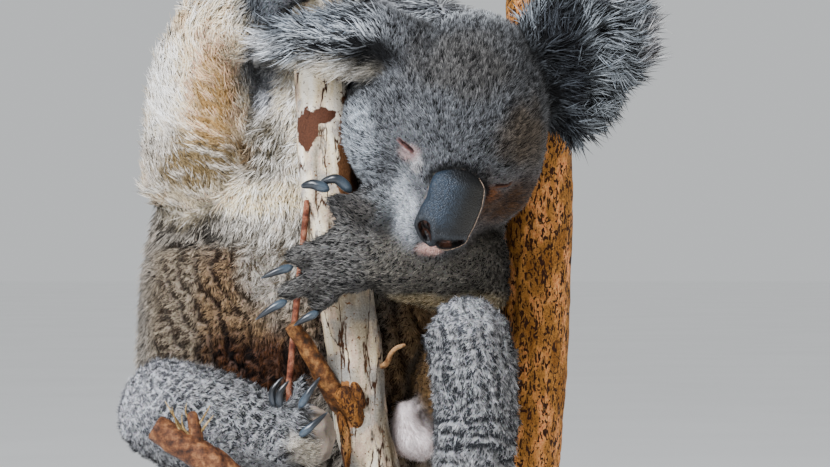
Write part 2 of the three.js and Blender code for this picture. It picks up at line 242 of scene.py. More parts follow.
def paint(mesh, name, colours):
    # one colour for each vertex
    layer = mesh.attributes.new(name, "FLOAT_COLOR", "POINT")
    full = np.ones((len(mesh.vertices), 4), np.float32)
    full[:, :3] = colours
    layer.data.foreach_set("color", full.ravel())


def dress(piece, material, slot, *replaced):
    piece.data.materials.clear()
    piece.data.materials.append(material)
    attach(piece, "root")
    if replaced:
        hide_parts(*replaced)
    return piece


# the head's own frame: x to the animal's right, y forwards, z up, in millimetres
headStands = {"centre": (47, -56, 512), "pitch": 36, "yaw": 13, "roll": 20.5}
headPlace = (
    Matrix.Translation(Vector(headStands["centre"]) / 1000)
    @ Matrix.Rotation(math.radians(headStands["roll"]), 4, "Y")
    @ Matrix.Rotation(math.radians(headStands["yaw"]), 4, "Z")
    @ Matrix.Rotation(math.radians(headStands["pitch"]), 4, "X")
    @ Matrix.Rotation(math.pi, 4, "Z")
    @ Matrix.Diagonal((0.001, 0.001, 0.001, 1))
)


def onHead(*place):
    return np.array(headPlace @ Vector(place))


# the coat of each node of flesh: length and width are a tuft's, in millimetres, lift is how many degrees it
# stands up, share how densely tufts grow, lock how wide a clump of them is, crease how deep the skin dips
# between clumps and how much painted shade lies there, and grain how much neighbouring tufts differ in tone.
# under is the colour of the fur near the skin and over that of its tips.
backWool = dict(length=4.8, width=0.8, lift=42, share=1.5, lock=4.2, crease=0.5, grain=0.42,
                under="#1e1812", over="#e2d6c4")
paleLeg = dict(length=4.0, width=0.72, lift=40, share=2.0, lock=5, crease=1.6, grain=0.4,
               under="#303236", over="#ffffff")
armWool = dict(length=10.5, width=1.1, lift=28, share=1.3, lock=9, crease=0.5, grain=0.3,
               under="#dccaa6", over="#ffffff")
paw = dict(length=5.0, width=0.72, lift=22, share=2.0, lock=4.2, crease=0.8, grain=0.95,
           under="#020202", over="#918e89")
coat = {
    "head": dict(length=4.2, width=0.62, lift=32, share=3.0, lock=3.2, crease=0.2, grain=0.8,
                 under="#030304", over="#86898d"),
    "ear_left": dict(length=15, width=1.0, lift=42, share=2.2, lock=7, crease=1.0, grain=0.62,
                     under="#030405", over="#b9c2c9"),
    "ear_right": dict(length=14, width=0.95, lift=38, share=2.4, lock=6.5, crease=1.0, grain=0.6,
                      under="#0a0b0d", over="#dde3e8"),
    "neck": dict(length=11, width=1.2, lift=30, share=0.9, lock=7, crease=0.6, grain=0.36,
                 under="#1f1f22", over="#b9babd"),
    "chest": dict(backWool, length=9.8, width=1.1, lift=32, lock=9, crease=0.8),
    "abdomen": dict(backWool),
    "upper_arm_left": dict(backWool, under="#2c2a28", over="#b5b0a8"),
    "forearm_left": dict(paw, lift=32, share=2.2, crease=0.7, over="#878176"),
    "upper_arm_right": dict(armWool),
    "forearm_right": dict(armWool, length=10),
    "hand_left": dict(paw),
    "hand_right": dict(paw, share=1.2, under="#0a0a0b", over="#85878a"),
    "thigh_left": dict(paleLeg, share=0.9),
    "shin_left": dict(paleLeg),
    "foot_left": dict(paw, share=1.2, under="#38342f"),
    "thigh_right": dict(paleLeg, share=0.9),
    "shin_right": dict(paleLeg),
    "foot_right": dict(paw, under="#0a0a0c", over="#cfd1d3"),
    "scrotum": dict(length=3.8, width=0.5, lift=38, share=2.6, lock=5, crease=0.2, grain=0.08,
                    under="#e2d2cf", over="#fffcfb"),
}
for look in coat.values():
    # the skin lies as far inside the solid as its tufts stand up
    look["depth"] = 0.65 * look["length"] * math.sin(math.radians(look["lift"] * 0.7))
flesh = list(coat)
lids = ["eyelid_left", "eyelid_right"]  # the skin takes these in as well

# marks on the coat: an ellipsoid's centre and size in millimetres, the under and over colours that it blends
# to, and the nodes it is on
frontNodes = ["chest", "abdomen", "upper_arm_right", "forearm_right"]
marks = [
    ((11, -104, 450), (12, 34, 30), "#5c6064", "#dfe3e6", ["head"]),  # muzzle
    ((21, -106, 484), (5, 14, 7), "#4c4a4b", "#dcdad9", ["head"]),  # right eye's corner
    ((15, -108, 491), (9, 16, 6), "#6b5452", "#dccac6", ["head"]),  # right eye's rim
    ((-19, -84, 492), (20, 40, 44), "#1f2024", "#d4dce2", ["head"]),  # right cheek: painted light, paler and bluer
    ((88, -86, 449), (39, 52, 37), "#100703", "#664526", ["head"]),  # left cheek: painted warm shade, dark brown
    ((86, -80, 500), (24, 40, 26), "#1a1511", "#8c7f70", ["head"]),  # left brow
    ((67, -100, 465), (10, 30, 6), "#2a1507", "#8a5428", ["head"]),  # left eye's corner: painted warm shade, orange-brown
    ((50, -100, 548), (44, 50, 30), "#050505", "#7a7875", ["head"]),  # forehead
    ((60, -40, 584), (70, 50, 14), "#2a2b30", "#e6ebee", ["head", "neck"]),  # crown
    ((-5, -80, 551), (21, 44, 12), "#010101", "#17181a", ["head", "ear_right"]),  # shade by the right ear
    ((29, -103, 430), (10, 24, 5), "#b98a7c", "#ffe6dc", ["head"]),  # lip
    ((178, -40, 566), (20, 60, 56), "#6a6b71", "#ffffff", ["ear_left"]),  # left ear's tip
    ((132, -40, 604), (60, 60, 18), "#33353b", "#f2f5f7", ["ear_left"]),  # left ear's top
    ((112, -50, 547), (20, 60, 54), "#010102", "#454a50", ["ear_left"]),  # left ear's root
    ((-86, -76, 562), (24, 40, 16), "#a5a5a4", "#ffffff", ["ear_right"]),  # right ear's tip
    ((-44, -76, 543), (50, 40, 12), "#cfc6b4", "#fffaf0", ["ear_right"]),  # right ear's lower edge
    ((-50, -76, 575), (50, 40, 11), "#121418", "#b4bdc5", ["ear_right"]),  # right ear's top
    ((-96, -14, 388), (66, 50, 82), "#2c1c0f", "#d0aa7c", ["abdomen"]),  # belly
    ((-70, -10, 426), (32, 50, 52), "#5d5140", "#f6f0e4", ["chest", "abdomen"]),  # side of the belly
    ((-84, -16, 352), (54, 50, 30), "#120804", "#7c4b29", ["abdomen"]),  # groin
    ((-142, 14, 400), (24, 60, 78), "#3a2e22", "#cdbb9f", ["abdomen"]),  # flank
    ((-76, 0, 520), (62, 60, 90), "#e0d8c8", "#ffffff", ["chest"]),  # chest
    ((-112, 0, 524), (20, 60, 56), "#b08a54", "#fbe8c6", frontNodes),  # chest's tan middle
    ((-152, -10, 520), (24, 90, 84), "#d6d0c4", "#ffffff", ["upper_arm_right"]),  # arm's pale edge
    ((-88, 0, 494), (16, 60, 13), "#6a4c2a", "#e8c890", frontNodes),  # armpit
    ((-96, 0, 468), (50, 60, 14), "#e4d6b8", "#fffdf6", frontNodes),  # pale band
    ((-124, 0, 482), (44, 70, 25), "#7e6a48", "#fffaf0", ["upper_arm_right"]),  # crook of the arm: tan clumps, with painted shade in brown between their rows
    ((-80, 0, 500), (20, 60, 26), "#5f5644", "#fffaf0", ["chest"]),  # chest by the stem
    ((-84, 0, 545), (15, 60, 24), "#2c2e33", "#d6dbe0", frontNodes),  # hollow by the arm: painted shade, grey
    ((-80, -10, 588), (22, 60, 18), "#0d0e12", "#8b9198", frontNodes + ["hand_right"]),  # wrist
    ((30, -10, 350), (40, 60, 90), "#3a2614", "#e6bd88", ["abdomen"]),  # inner belly
    ((32, -60, 393), (78, 60, 10), "#6d5a36", "#f6e6c0", ["forearm_left"]),  # forearm's underside
    ((-156, -30, 336), (48, 60, 44), "#74757a", "#ffffff", ["shin_right"]),  # right knee
    ((50, -110, 392), (40, 50, 16), "#5a5c60", "#ffffff", ["shin_left"]),  # left knee
    ((-4, -84, 456), (16, 30, 14), "#050506", "#a2a7aa", ["head", "hand_left"]),  # thumb
    ((-28, -84, 462), (19, 40, 16), "#020202", "#6e6c69", ["hand_left"]),  # back of the hand
    ((24, -36, 338), (24, 60, 64), "#201307", "#b8905c", ["thigh_left"]),  # inside of the thigh
    ((-84, -34, 586), (22, 50, 22), "#0c0d11", "#8b9197", ["forearm_right", "hand_right"]),  # above the wrist
    ((-86, 30, 549), (20, 60, 30), "#b4b7bc", "#ffffff", ["chest", "forearm_right"]),  # behind the stem
    ((-56, -91, 299), (22, 40, 14), "#8a8170", "#fff6e6", ["foot_right"]),  # heel
    ((-14, -88, 452), (14, 30, 13), "#020202", "#6e6a65", ["hand_left"]),  # hand's root
    ((-20, 110, 236), (110, 60, 46), "#77716a", "#f4f0ea", ["abdomen"]),  # rump
]

# the way the fur lies: along a limb from the part before to the part after, down the trunk, and out from a
# point in front of the nose or at an ear's root
limbChains = [
    ("chest", "upper_arm_left", "forearm_left", "hand_left"),
    ("chest", "upper_arm_right", "forearm_right", "hand_right"),
    ("abdomen", "thigh_left", "shin_left", "foot_left"),
    ("abdomen", "thigh_right", "shin_right", "foot_right"),
]
outwards = {
    "head": onHead(-3, 96, -22),
    "ear_left": np.array((0.092, -0.036, 0.545)),
    "ear_right": np.array((0.030, -0.066, 0.566)),
}
downwards = {"neck": (-0.2, 0.3, -1), "chest": (-0.1, 0, -1), "abdomen": (-0.4, 0, -1), "scrotum": (0, 0, -1)}


def middle(name):
    low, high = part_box(name)
    return np.array((low + high) / 2)


def lieOf(name, points):
    if name in outwards:
        return unit(points - outwards[name])
    if name in downwards:
        return np.tile(unit(np.array(downwards[name], float)), (len(points), 1))
    for chain in limbChains:
        if name in chain:
            i = chain.index(name)
            way = middle(chain[min(i + 1, 3)]) - middle(chain[i - 1])
            return np.tile(unit(way), (len(points), 1))


# how fine the skin is and how near the eyes it is finer, how often its nodes, the coat's depth, its shape and
# its creases are blurred, how far it lies beneath the nose, and how deep a crease is pale and fully dark
skinForm = dict(voxel=0.0027, rounds=4, puff=0.0003, eyeReach=0.0085, eyeCuts=4, nodeBlur=8, depthBlur=4,
                shapeBlur=2, creaseBlur=10, underNose=0.009, creases=(0.0001, 0.0011))
fleshForm = mergedShape(flesh + lids + ["nose"], skinForm["puff"])
# the cheek's fur meets the hand's here, so the skin closes the gap between them
cheekFill = dict(at=(-0.006, -0.074, 0.455), size=(0.016, 0.013, 0.020))
stretch = Matrix.Translation(cheekFill["at"]) @ Matrix.Diagonal((*cheekFill["size"], 1))
bmesh.ops.create_icosphere(fleshForm, subdivisions=3, radius=1, matrix=stretch)
skin = newPiece("skin", fleshForm)
fused(skin, skinForm["voxel"], skinForm["rounds"])
print("skin fused:", len(skin.data.vertices), "vertices")

# the closed eyes: each slit runs from its inner to its outer corner and bows a little
eyeForm = dict(
    reach=0.012,  # how far from its slit a lid ends
    slits=[  # inner corner, outer corner and bow, in millimetres on the head
        ((30.6, 56, 3.6), (41.8, 47.5, 5), -1.8),
        ((-24.6, 56, 3.6), (-37.4, 47.5, 5), 0),
    ],
    ridges=[(-1.6, 0, 0.75), (0.8, 3.2, 2.0), (0.64, -2.6, 1.5)],  # rise, place above the slit and width
)
slits = [(onHead(*inner), onHead(*outer), bow / 1000) for inner, outer, bow in eyeForm["slits"]]


def besideSlit(points, ends):
    # share along the slit, height above its line and distance from it, in metres
    start, stop, bow = ends
    line = stop - start
    share = (points - start) @ line / (line @ line)
    up = onHead(0, 0, 1) - onHead(0, 0, 0)
    rise = unit(across(up[None], unit(line[None])))[0]
    offset = points - start - share[:, None] * line
    height = offset @ rise + bow * (1 - (2 * np.clip(share, 0, 1) - 1) ** 2)
    outside = np.maximum(0, np.abs(share - 0.5) - 0.5) * np.linalg.norm(line)
    return share, height, np.hypot(np.linalg.norm(offset, axis=1), outside)


# finer faces round the eyes, where the lids are
shape = bmesh.new()
shape.from_mesh(skin.data)
here = places(skin.data)
near = np.zeros(len(here), bool)
for ends in slits:
    near |= besideSlit(here, ends)[2] < skinForm["eyeReach"]
shape.edges.ensure_lookup_table()
close = [edge for edge in shape.edges if near[edge.verts[0].index] and near[edge.verts[1].index]]
bmesh.ops.subdivide_edges(shape, edges=close, cuts=skinForm["eyeCuts"], use_grid_fill=True)
bmesh.ops.triangulate(shape, faces=[face for face in shape.faces if len(face.verts) > 4])
shape.to_mesh(skin.data)
shape.free()

# which node each vertex belongs to, blurred across the joins
corners, faces, owner = [], [], []
for index, name in enumerate(flesh + lids + ["nose"]):
    mesh = nodes[name].data
    base = len(corners)
    corners += [vertex.co.copy() for vertex in mesh.vertices]
    faces += [[base + v for v in polygon.vertices] for polygon in mesh.polygons]
    owner += [index if name in flesh else flesh.index("head")] * len(mesh.polygons)
solids = BVHTree.FromPolygons(corners, faces)
here = places(skin.data)
belongs = np.zeros((len(here), len(flesh)))
for index, point in enumerate(here):
    belongs[index, owner[solids.find_nearest(Vector(point))[2]]] = 1

links = rowsOf(skin.data.edges, "vertices", 2, np.int32)
linkCount = np.maximum(np.bincount(links.ravel(), minlength=len(here)), 1)


def blurred(values, rounds):
    # each vertex takes on the mean of its neighbours
    for _ in range(rounds):
        for column in range(values.shape[1]):
            side = values[:, column]
            total = np.bincount(links[:, 0], side[links[:, 1]], len(side))
            total += np.bincount(links[:, 1], side[links[:, 0]], len(side))
            values[:, column] = 0.5 * side + 0.5 * total / linkCount
    return values


def passOn(giver, taker, share):
    # this share of one node's skin goes to another
    passed = belongs[:, flesh.index(giver)] * share
    belongs[:, flesh.index(giver)] -= passed
    belongs[:, flesh.index(taker)] += passed


# the right ear's root passes into the head where its long fur ends
passOn("ear_right", "head", fade(here[:, 0], -0.006, 0.004))
belongs = blurred(belongs, skinForm["nodeBlur"])
belongs /= belongs.sum(axis=1, keepdims=True)
# down the back the long fur of the shoulders passes gradually into that of the rump
passOn("abdomen", "chest", fade(here[:, 1], 0.02, 0.07) * fade(here[:, 2], 0.24, 0.44))
print("skin parted into", len(flesh), "regions")


def coatOf(key, weights):
    return weights @ np.array([coat[name][key] for name in flesh], float)


lockSizes = (3.2, 4.2, 5, 6.5, 9)  # clumps come in these widths, in millimetres


def locksAt(points, weights):
    # each point's clump: its middle, its own random number and how far inside it the point is
    wanted = coatOf("lock", weights)
    kind = np.abs(wanted[:, None] - np.array(lockSizes)).argmin(axis=1)
    middles, own, inside = np.zeros_like(points), np.zeros(len(points)), np.zeros(len(points))
    bent = points + 0.0012 * np.stack([cloud(points, 0.005, s) for s in (21, 22, 23)], axis=1)
    for number, size in enumerate(lockSizes):
        these = kind == number
        middles[these], own[these], inside[these] = clumps(bent[these], size / 1000, number)
    return middles + points - bent, own, inside


# what share of the coat's length is left on the muzzle and at the slits, and between which distances it grows
trim = dict(muzzleAt=onHead(-3, 84, -30), muzzle=0.55, muzzleReach=(0.024, 0.060), slit=0.4,
            slitReach=(0.003, 0.014))


def shortened(points):
    # how much of its coat a place has: less on the muzzle and round the eyes
    far = fade(np.linalg.norm(points - trim["muzzleAt"], axis=1), *trim["muzzleReach"])
    left = blend(trim["muzzle"], 1, far)
    for ends in slits:
        far = fade(besideSlit(points, ends)[2], *trim["slitReach"])
        left = np.minimum(left, blend(trim["slit"], 1, far))
    return left


def formOf(name):
    corners = [vertex.co.copy() for vertex in nodes[name].data.vertices]
    return BVHTree.FromPolygons(corners, [list(polygon.vertices) for polygon in nodes[name].data.polygons])


noseForm, headForm = formOf("nose"), formOf("head")
# how near the nose's middle its distance is measured, what is said elsewhere, how near the leather the skin
# passes beneath it, how far inside the head it is fully under, and how far out and how high its dark rim is
noseReach = dict(middle=0.045, far=0.02, under=0.004, inside=(0.0012, 0.005), rim=(0.0022, 0.0038),
                 rimLevels=(-0.005, 0.003))


def besideNose(points, form):
    # distance from the nose's leather or from the head's own shape, measured only near the nose
    distance = np.full(len(points), noseReach["far"])
    close = np.linalg.norm(points - onHead(-3, 80, -14), axis=1) < noseReach["middle"]
    for index in np.nonzero(close)[0]:
        distance[index] = form.find_nearest(Vector(points[index]))[3]
    return distance


def underNose(points):
    # 1 well inside the edge of the nose's leather, where the skin passes beneath it
    inside = besideNose(points, headForm)
    share = fade(inside, *noseReach["inside"]) * (inside < noseReach["far"])
    return np.where(besideNose(points, noseForm) < noseReach["under"], share, 0)


# the skin sinks by the coat's depth, and well below the nose
normals = facing(skin.data)
depth = coatOf("depth", belongs) / 1000 * shortened(here) + skinForm["underNose"] * underNose(here)
here = here - normals * blurred(depth[:, None], skinForm["depthBlur"])
here = blurred(here, skinForm["shapeBlur"])

# where the body swells a little beyond its solids: the crown, the cheek above the hand and the elbow
swells = [
    dict(at=(74, -56, 574), size=(44, 50, 30), height=4.0, on="head"),
    dict(at=(-2, -84, 462), size=(18, 24, 16), height=5.0, on="head"),
    dict(at=(68, -50, 399), size=(18, 30, 16), height=6.0, on="forearm_left"),
]
for swell in swells:
    reach = np.linalg.norm((here * 1000 - swell["at"]) / swell["size"], axis=1)
    rise = swell["height"] / 1000 * (1 - fade(reach, 0.2, 1)) * belongs[:, flesh.index(swell["on"])]
    here = here + normals * rise[:, None]

# folds: long rolls down the belly, wrinkles over the knees, rings round the shin and creases across the
# raised arm's root. Each has its node, its way across, its step and height in millimetres, the way in which
# its lumps follow one another and their length, the levels between which it runs, and how dark the painted
# shade in its creases is
folds = [
    ("abdomen", (1, 0, 0.28), 12, 5.5, (-0.28, 0, 1), 8, (0, 1), 0.95),
    ("chest", (0.1, 0, 1), 11, 0.8, (1, 0, 0), 30, (0, 1), 0.8),
    ("shin_left", (1, 0, 0.15), 9, 2.0, (0, 0, 1), 8, (0.325, 1), 1),
    ("shin_left", (0.12, 0, 1), 9, 4.0, (1, 0, 0), 30, (0, 0.325), 1.2),
    ("shin_right", (1, 0, -0.6), 9, 2.0, (0.6, 0, 1), 8, (0, 1), 1),
    ("upper_arm_right", (0.2, 0, 1), 12, 1.4, (1, 0, 0), 30, (0.505, 1), 1),
    ("upper_arm_right", (0.15, 0, 1), 8, 2.6, (1, 0, 0), 30, (0, 0.505), 1),
]
foldEnds = 0.006  # each fold fades over this distance past its levels


def foldOf(points, weights):
    # height of the folds in millimetres, and how far inside a roll of wool each point is, from 0 to 1, which
    # sets the painted shade in the creases. The back is smooth.
    height, inside = np.zeros(len(points)), np.ones(len(points))
    front = 1 - fade(points[:, 1], 0.03, 0.07)
    for on, way, step, rise, run, segment, (low, high), dark in folds:
        levels = (low - foldEnds, low + foldEnds, high - foldEnds, high + foldEnds)
        share = front * weights[:, flesh.index(on)] * band(points[:, 2], *levels)
        along = points @ unit(np.array(way, float)) * 1000 / step
        along += 0.6 * cloud(points, 0.034, 3) + 0.45 * cloud(points, 0.011, 4)
        roll = np.floor(along)
        down = points @ unit(np.array(run, float)) * 1000 / segment
        down += 0.37 * roll + 0.6 * cloud(points, 0.011, 9)
        lump = np.minimum(np.sin(math.pi * (along - roll)), 0.3 + 0.85 * np.abs(np.sin(math.pi * down)))
        broken = 0.3 + 0.7 * fade(cloud(points * (1, 1, 0.5), 0.022, 5), -0.6, 0.2)
        height += share * rise * lump ** 0.7 * broken
        # painted shade in the creases between rolls, as deep as the fold's darkness
        inside -= share * (1 - lump) * broken * dark
    return height, inside


creases = coatOf("crease", belongs) * (1 - fade(locksAt(here, belongs)[2], 0.02, 0.3))
here = here + normals * (foldOf(here, belongs)[0] - creases)[:, None] / 1000

# the lids
for ends in slits:
    share, height, distance = besideSlit(here, ends)
    up = height * 1000
    taper = band(share, -0.12, 0.18, 0.82, 1.12) * (distance < eyeForm["reach"])
    rise = sum(lift * np.exp(-((up - place) / width) ** 2) for lift, place, width in eyeForm["ridges"])
    here = here + normals * (rise * taper)[:, None] / 1000
movedTo(skin.data, here)
normals = facing(skin.data)
dip = np.sum((blurred(here.copy(), skinForm["creaseBlur"]) - here) * normals, axis=1)
hollow = fade(blurred(dip[:, None], 1)[:, 0], *skinForm["creases"])  # how deep in a crease each vertex is


def markedCoat(points, weights):
    # the coat's under and over colours at each place
    looks = [coat[name] for name in flesh]
    under, over = (weights @ np.array([asRgb(look[key]) for look in looks]) for key in ("under", "over"))
    for at, size, newUnder, newOver, on in marks:
        reach = np.linalg.norm((points * 1000 - at) / size, axis=1)
        share = 1 - fade(reach + 0.22 * cloud(points, 0.011, 8), 0.45, 1.15)
        share = (share * weights[:, [flesh.index(name) for name in on]].sum(axis=1))[:, None]
        under, over = blend(under, asRgb(newUnder), share), blend(over, asRgb(newOver), share)
    return under, over


# the lids are bare pink skin; the left lid's darker orange-brown is painted shade
bareSkin = dict(lids=("#5c3d39", "#4a2c18"), slit="#1a0605", sole="#8d8073")
sole = dict(at=np.array((-0.034, -0.074, 0.316)), half=(0.018, 0.030, 0.0265))


def bareness(points):
    # where no fur grows, and what colour shows there
    reach = np.linalg.norm((points - sole["at"]) / sole["half"], axis=1)
    share = 1 - fade(reach + 0.1 * cloud(points, 0.006, 12), 0.85, 1.05)
    colour = np.tile(asRgb(bareSkin["sole"]), (len(points), 1))
    lines = fade(np.abs(cloud(points * (0.5, 1, 1), 0.009, 14)), 0.02, 0.14)
    colour *= (0.35 + 0.4 * lines + 0.35 * fade(cloud(points, 0.007, 13), -0.6, 0.4))[:, None]
    share = np.maximum(share, 2 * underNose(points))
    # each lid takes its colour, the left one with painted shade in it
    for ends, lidColour in zip(slits, bareSkin["lids"]):
        along, height, distance = besideSlit(points, ends)
        inside = band(along, -0.1, 0.12, 0.85, 1.1) * (distance < eyeForm["reach"])
        found = band(height, -0.0021, -0.0011, 0.0009, 0.0016) * inside
        line = ((1 - fade(np.abs(height), 0.0006, 0.0012)) * inside)[:, None]
        lid = blend(asRgb(lidColour), asRgb(bareSkin["slit"]), line)
        colour = np.where(found[:, None] > 0, lid, colour)
        share = np.maximum(share, found)
    return np.minimum(share, 1), colour


def darkRim(points):
    # round the top of the nose the fur is short and nearly black
    upward = unit((onHead(0, 0, 1) - onHead(0, 0, 0))[None])[0]
    high = fade((points - onHead(-4, 70, -6)) @ upward, *noseReach["rimLevels"])
    return (1 - fade(besideNose(points, noseForm), *noseReach["rim"])) * high


under, over = markedCoat(here, belongs)
bare, bareColour = bareness(here)
# painted shade: the skin darkens in its creases; round the top of the nose it is near black like the fur
# there
ground = blend(under, over, 0.2) * (1 - 0.6 * hollow[:, None]) * (1 - 0.95 * darkRim(here)[:, None])
paint(skin.data, "coatColour", blend(ground, bareColour, bare[:, None]))
print("skin painted:", sum(len(face.vertices) - 2 for face in skin.data.polygons), "triangles")


def skinMaterial():
    # hide under a coat: soft and matt, with the fine grain of shorn hairs 1.2 mm apart
    material, tree, coords = newMaterial("furred skin")
    colour = addNode(tree, "Attribute", attribute_name="coatColour")
    grain = addNode(tree, "TexNoise", {"Vector": coords, "Scale": 1 / 0.0012, "Detail": 3})
    shade = addNode(tree, "MixRGB", {"Fac": 0.35, "Color1": colour, "Color2": grain.node.outputs["Color"]},
                    blend_type="SOFT_LIGHT")
    bump = addNode(tree, "Bump", {"Strength": 0.4, "Distance": 0.0006, "Height": grain})
    return finished(material, {"Base Color": shade, "Normal": bump, "Roughness": 0.7,
                               "Specular IOR Level": 0.25})


# an unwrap of the skin's own shape, on which every tuft finds its place
bpy.context.view_layer.objects.active = skin
skin.select_set(True)
skin.data.uv_layers.new(name="OFBake")
bpy.ops.object.mode_set(mode="EDIT")
bpy.ops.mesh.select_all(action="SELECT")
bpy.ops.uv.smart_project(angle_limit=math.radians(66), island_margin=0.002)
bpy.ops.object.mode_set(mode="OBJECT")
skin.select_set(False)
dress(skin, skinMaterial(), "grey_fur", *flesh, *lids)
print("skin shaped:", len(skin.data.vertices), "vertices")


def rootsOn(mesh, weightShare, count):
    # evenly shared random places on the skin: triangle corners, mixing shares and unwrap places
    mesh.calc_loop_triangles()
    verts, loops = (rowsOf(mesh.loop_triangles, key, 3, np.int32) for key in ("vertices", "loops"))
    uv = rowsOf(mesh.uv_layers["OFBake"].data, "uv", 2)
    a, b, c = here[verts[:, 0]], here[verts[:, 1]], here[verts[:, 2]]
    area = np.linalg.norm(np.cross(b - a, c - a), axis=1) * weightShare[verts].mean(axis=1)
    steps = np.cumsum(area) / area.sum()  # the front, which is seen most, grows densest
    picked = np.searchsorted(steps, (np.arange(count) + dice.random(count)) / count)
    picked = np.minimum(picked, len(verts) - 1)
    mix = dice.dirichlet((1, 1, 1), count)
    return verts[picked], mix, np.einsum("ij,ijk->ik", mix, uv[loops[picked]])


def tuftMesh(name, tufts, rings):
    # three-sided tufts in one mesh: rings of three corners and a tip, closed at the root
    count = len(tufts["root"])
    side = np.cross(tufts["normal"], tufts["lie"])
    each = rings * 3 + 1
    corners, colours, faced = np.empty((3, count, each, 3))
    spots = np.empty((count, each, 2))
    turns = [(-1, 0), (1, 0), (0, 0.8)]  # left, right and ridge
    for ring in range(rings + 1):
        share = ring / rings
        reach = (tufts["length"] * share ** 1.1)[:, None]
        lift = (tufts["lift"] * (1 - 0.3 * share))[:, None]
        spine = tufts["root"] + tufts["lie"] * reach * np.cos(lift) + tufts["bend"] * share ** 1.5
        spine += tufts["normal"] * (reach * np.sin(lift) - 0.0006 * (1 - share))
        tone = blend(tufts["rootColour"], tufts["tipColour"], share ** 0.8)
        if ring == rings:
            corners[:, -1], colours[:, -1], spots[:, -1] = spine, tone, tufts["uv"]
            faced[:, -1] = tufts["normal"] + 0.3 * tufts["lie"]
            break
        breadth = (tufts["width"] / 2 * (1 - 0.35 * share))[:, None]
        for k, (sideways, up) in enumerate(turns):
            corner = ring * 3 + k
            corners[:, corner] = spine + side * sideways * breadth + tufts["normal"] * up * breadth
            colours[:, corner] = tone
            faced[:, corner] = tufts["normal"] + coatForm["relief"] * sideways * side
            angle = 2 * math.pi * k / 3
            outward = 0.0015 * (1 - 0.5 * share)
            spots[:, corner] = tufts["uv"] + outward * np.array([math.cos(angle), math.sin(angle)])
    sides = [(0, 2, 1)]
    for ring in range(rings - 1):
        for k in range(3):
            low, beside = ring * 3 + k, ring * 3 + (k + 1) % 3
            sides += [(low, beside, beside + 3), (low, beside + 3, low + 3)]
    last = (rings - 1) * 3
    sides += [(last + k, last + (k + 1) % 3, rings * 3) for k in range(3)]
    indices = (np.arange(count)[:, None, None] * each + np.array(sides)[None]).ravel()
    mesh = bpy.data.meshes.new(name)
    mesh.vertices.add(count * each)
    mesh.vertices.foreach_set("co", corners.astype(np.float32).ravel())
    mesh.loops.add(len(indices))
    mesh.loops.foreach_set("vertex_index", indices.astype(np.int32))
    mesh.polygons.add(len(indices) // 3)
    mesh.polygons.foreach_set("loop_start", np.arange(0, len(indices), 3, dtype=np.int32))
    mesh.update(calc_edges=True)
    layer = mesh.uv_layers.new(name="OFBake")
    layer.data.foreach_set("uv", spots.reshape(-1, 2)[indices].astype(np.float32).ravel())
    paint(mesh, "coatColour", colours.reshape(-1, 3))
    mesh.shade_smooth()
    mesh.normals_split_custom_set_from_vertices(unit(faced.reshape(-1, 3)))
    return mesh


def furMaterial():
    # koala wool: dense, dull and soft, with only a trace of shine along its tips and flecks 1.8 mm apart
    material, tree, coords = newMaterial("koala wool")
    colour = addNode(tree, "Attribute", attribute_name="coatColour")
    shade = grained(tree, coords, colour, 0.0018, ("#404040", "#c0c0c0"), 0.7, detail=2)[0]
    return finished(material, {"Base Color": shade, "Roughness": 0.8, "Specular IOR Level": 0.12,
                               "Sheen Weight": 0.04, "Sheen Roughness": 0.5})


# how many tufts there are, how many triangles a piece of coat has at most, how much a tuft's two sides differ
# in light, the lengths between which straight tufts give way to bent ones, how far its direction and its
# length, lift and width vary, and how much shorter it is at a clump's edge and in a crease
coatForm = dict(shortTufts=250000, longTufts=46000, triangles=190000, relief=0.9, bent=(9.3, 10.2), swing=13,
                length=(0.65, 0.7), lift=(0.6, 0.8), width=(0.7, 0.6), edge=0.3, crease=0.3)
# how much a tuft's tone varies with its clump, with the speck of this size that it stands in and by itself,
# how much painted shade darkens it at a clump's edge and in a fold, and how much a painted highlight pales it
# on a fold's crest
toneForm = dict(middle=0.52, clump=0.22, speckSize=0.0015, speck=1.25, own=0.35, edge=0.55, foldShade=1.05,
                crestHighlight=0.16)
longShare = fade(coatOf("length", belongs), *coatForm["bent"])
wool = furMaterial()
curl = {"ear_left": 70, "ear_right": 40, "chest": 40, "abdomen": 50, "shin_left": 50, "shin_right": 50}


